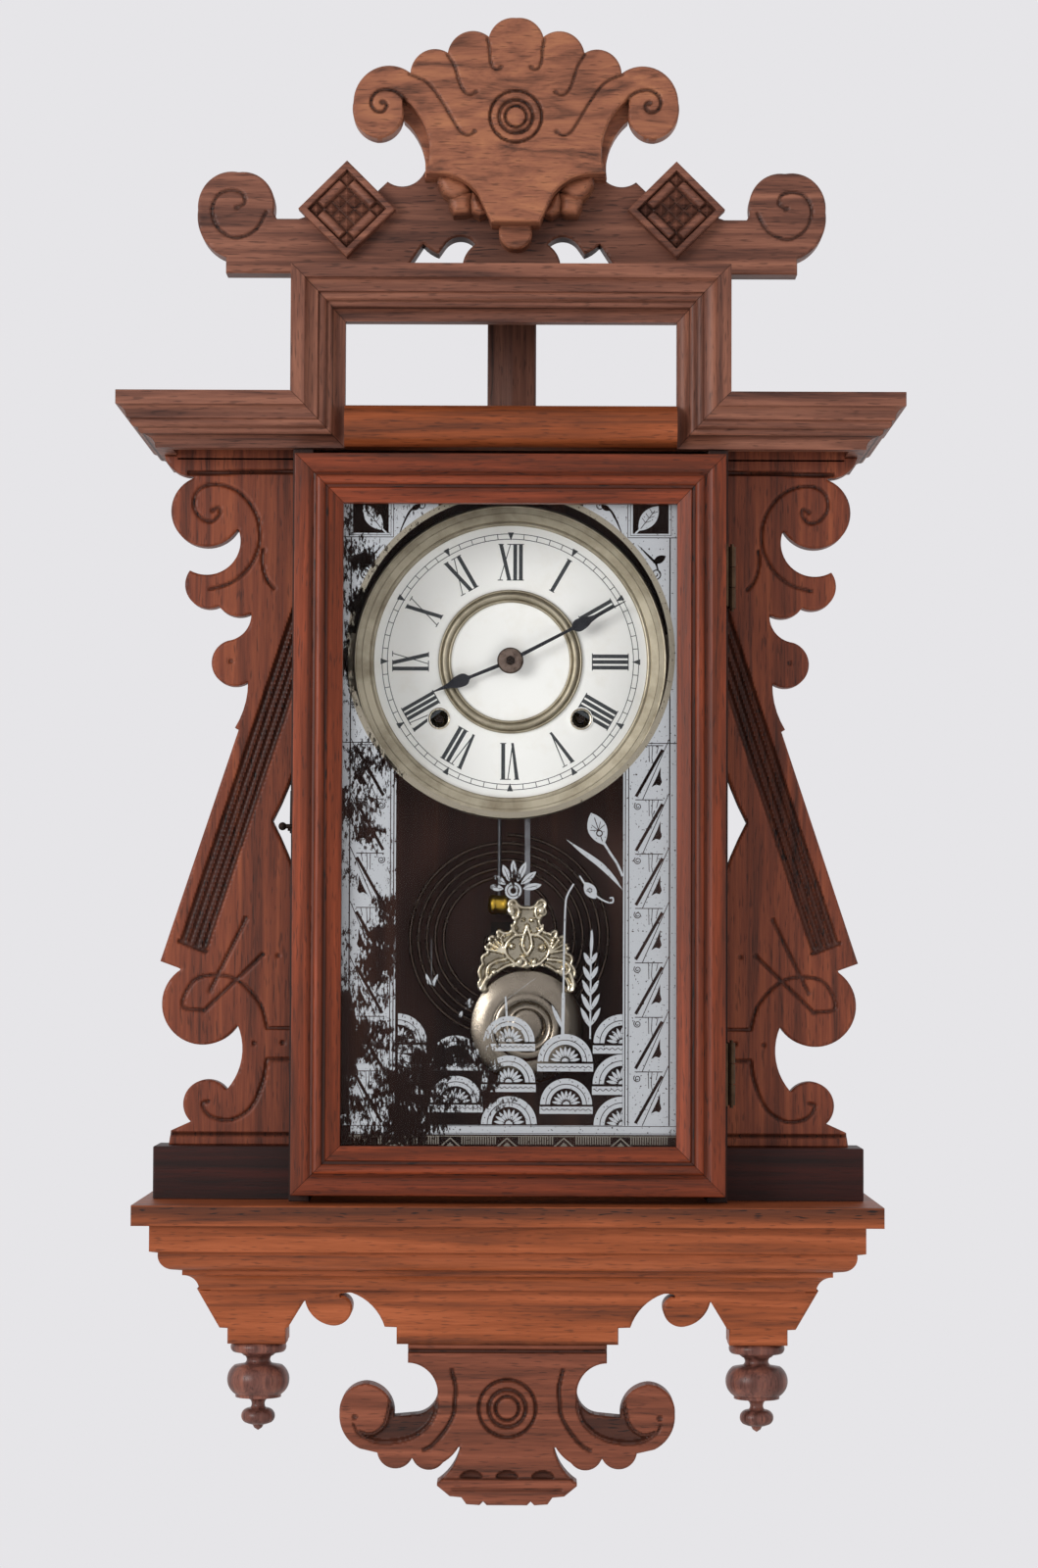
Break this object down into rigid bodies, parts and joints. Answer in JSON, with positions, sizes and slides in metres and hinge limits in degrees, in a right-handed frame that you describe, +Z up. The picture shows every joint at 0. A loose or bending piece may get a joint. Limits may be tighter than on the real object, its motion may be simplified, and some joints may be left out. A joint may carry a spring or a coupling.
{
  "type": "hanging wall clock",
  "caption": "Carved walnut hanging wall clock with a glazed hinged door, metal dial on a deep pan, hands, spring movement, spiral wire gong and swinging pendulum.",
  "frame": {"origin": "on the wall plane, at the back face of the back board, level with the axis of the hands and on the clock's centre line", "axes": "+Z up, +X to the right as seen from the front, the front faces -Y and the wall is the plane y = 0"},
  "size_m": [0.432, 0.139, 0.8159],
  "materials": {
    "walnut": "oiled walnut mouldings",
    "walnut_red": "polished reddish walnut",
    "walnut_dark": "dark stained walnut",
    "walnut_light": "lighter figured walnut",
    "pine": "stained softwood",
    "nickel": "dulled nickel plate",
    "silver": "nickel-plated casting",
    "brass": "satin brass",
    "steel": "drawn steel",
    "blued_steel": "blued steel",
    "enamel": "white painted zinc",
    "iron": "black iron",
    "glass": "clear glass with a worn silver print"
  },
  "bodies": {
    "case": {"back_board": "pine", "hanger_plate": "steel", "case_side_left": "walnut_dark", "case_side_right": "walnut_dark", "case_top": "walnut_dark", "bridge_deck": "walnut_dark", "spine_post": "walnut_dark", "cornice_left": "walnut", "cornice_return_left": "walnut", "bridge_riser_left": "walnut", "cornice_right": "walnut", "cornice_return_right": "walnut", "bridge_riser_right": "walnut", "bridge_rail": "walnut", "frieze_rail": "walnut", "crest_board": "walnut", "crest_shell": "walnut_light", "diamond_block_left": "walnut", "diamond_block_right": "walnut", "wing_board_left": "walnut_dark", "plinth_block_left": "walnut_dark", "wing_board_right": "walnut_dark", "plinth_block_right": "walnut_dark", "base_shelf": "walnut_red", "base_moulding": "walnut_red", "apron_board": "walnut_red", "finial_left": "walnut", "finial_right": "walnut", "bottom_ornament": "walnut_red", "hinge_upper_case_leaf": "brass", "hinge_lower_case_leaf": "brass", "dial_pan": "nickel", "dial_plate": "enamel", "dial_centre_ring": "nickel", "movement_back_plate": "brass", "movement_front_plate": "brass", "gong_coil": "steel", "gong_block": "iron"},
    "door": {"door_stile_left": "walnut_red", "door_stile_right": "walnut_red", "door_rail_bottom": "walnut_red", "door_rail_top": "walnut_red", "door_glass": "glass", "hinge_upper_door_leaf": "brass", "hinge_lower_door_leaf": "brass", "latch_pin": "iron"},
    "latch": {"latch_hook": "iron"},
    "minute": {"centre_wheel": "brass", "minute_hand": "blued_steel"},
    "hour": {"hour_hand": "blued_steel"},
    "time_great": {"time_great_wheel": "brass"},
    "time_second": {"time_second_wheel": "brass"},
    "third": {"third_wheel": "brass"},
    "escape": {"escape_wheel": "brass"},
    "strike_great": {"strike_great_wheel": "brass"},
    "verge": {"verge_crutch": "steel"},
    "pendulum": {"pendulum_rod": "steel", "pendulum_bob": "silver"},
    "hammer": {"strike_hammer": "brass"}
  },
  "joints": [
    {"name": "door_hinge", "type": "hinge", "parent": "case", "child": "door", "pos_m": [0.122, -0.1062, -0.094], "axis": [0, 0, 1], "range_deg": [0, 110]},
    {"name": "latch_turn", "type": "hinge", "parent": "case", "child": "latch", "pos_m": [-0.121, -0.092, -0.0955], "axis": [1, 0, 0], "range_deg": [0, 100]},
    {"name": "minute_turn", "type": "hinge", "parent": "case", "child": "minute", "pos_m": [0, -0.055, 0], "axis": [0, 1, 0], "continuous": true},
    {"name": "hour_turn", "type": "hinge", "parent": "case", "child": "hour", "pos_m": [0, -0.055, 0], "axis": [0, 1, 0], "continuous": true},
    {"name": "time_great_turn", "type": "hinge", "parent": "case", "child": "time_great", "pos_m": [0.04, -0.03, -0.0324], "axis": [0, 1, 0], "continuous": true},
    {"name": "time_second_turn", "type": "hinge", "parent": "case", "child": "time_second", "pos_m": [0.01042, -0.028, -0.02561], "axis": [0, 1, 0], "continuous": true},
    {"name": "third_turn", "type": "hinge", "parent": "case", "child": "third", "pos_m": [-0.00029, -0.028, 0.02245], "axis": [0, 1, 0], "continuous": true},
    {"name": "escape_turn", "type": "hinge", "parent": "case", "child": "escape", "pos_m": [0.01, -0.028, 0.0386], "axis": [0, 1, 0], "continuous": true},
    {"name": "strike_great_turn", "type": "hinge", "parent": "case", "child": "strike_great", "pos_m": [-0.04, -0.03, -0.0324], "axis": [0, 1, 0], "continuous": true},
    {"name": "pendulum_swing", "type": "hinge", "parent": "case", "child": "pendulum", "pos_m": [0.01, -0.0462, 0.063], "axis": [0, 1, 0], "range_deg": [-3, 3]},
    {"name": "verge_swing", "type": "hinge", "parent": "case", "child": "verge", "pos_m": [0.01, -0.03, 0.057], "axis": [0, 1, 0], "range_deg": [-3.7, 3.7]},
    {"name": "hammer_lift", "type": "hinge", "parent": "case", "child": "hammer", "pos_m": [-0.006, -0.025, -0.05], "axis": [0, -1, 0], "range_deg": [0, 8]}
  ],
  "couplings": [
    {"joint": "hour_turn", "follows": "minute_turn", "ratio": 0.083333},
    {"joint": "time_great_turn", "follows": "minute_turn", "ratio": 0.083333},
    {"joint": "time_second_turn", "follows": "minute_turn", "ratio": -0.33333},
    {"joint": "third_turn", "follows": "minute_turn", "ratio": -10},
    {"joint": "verge_swing", "follows": "pendulum_swing", "ratio": 1.1935}
  ]
}
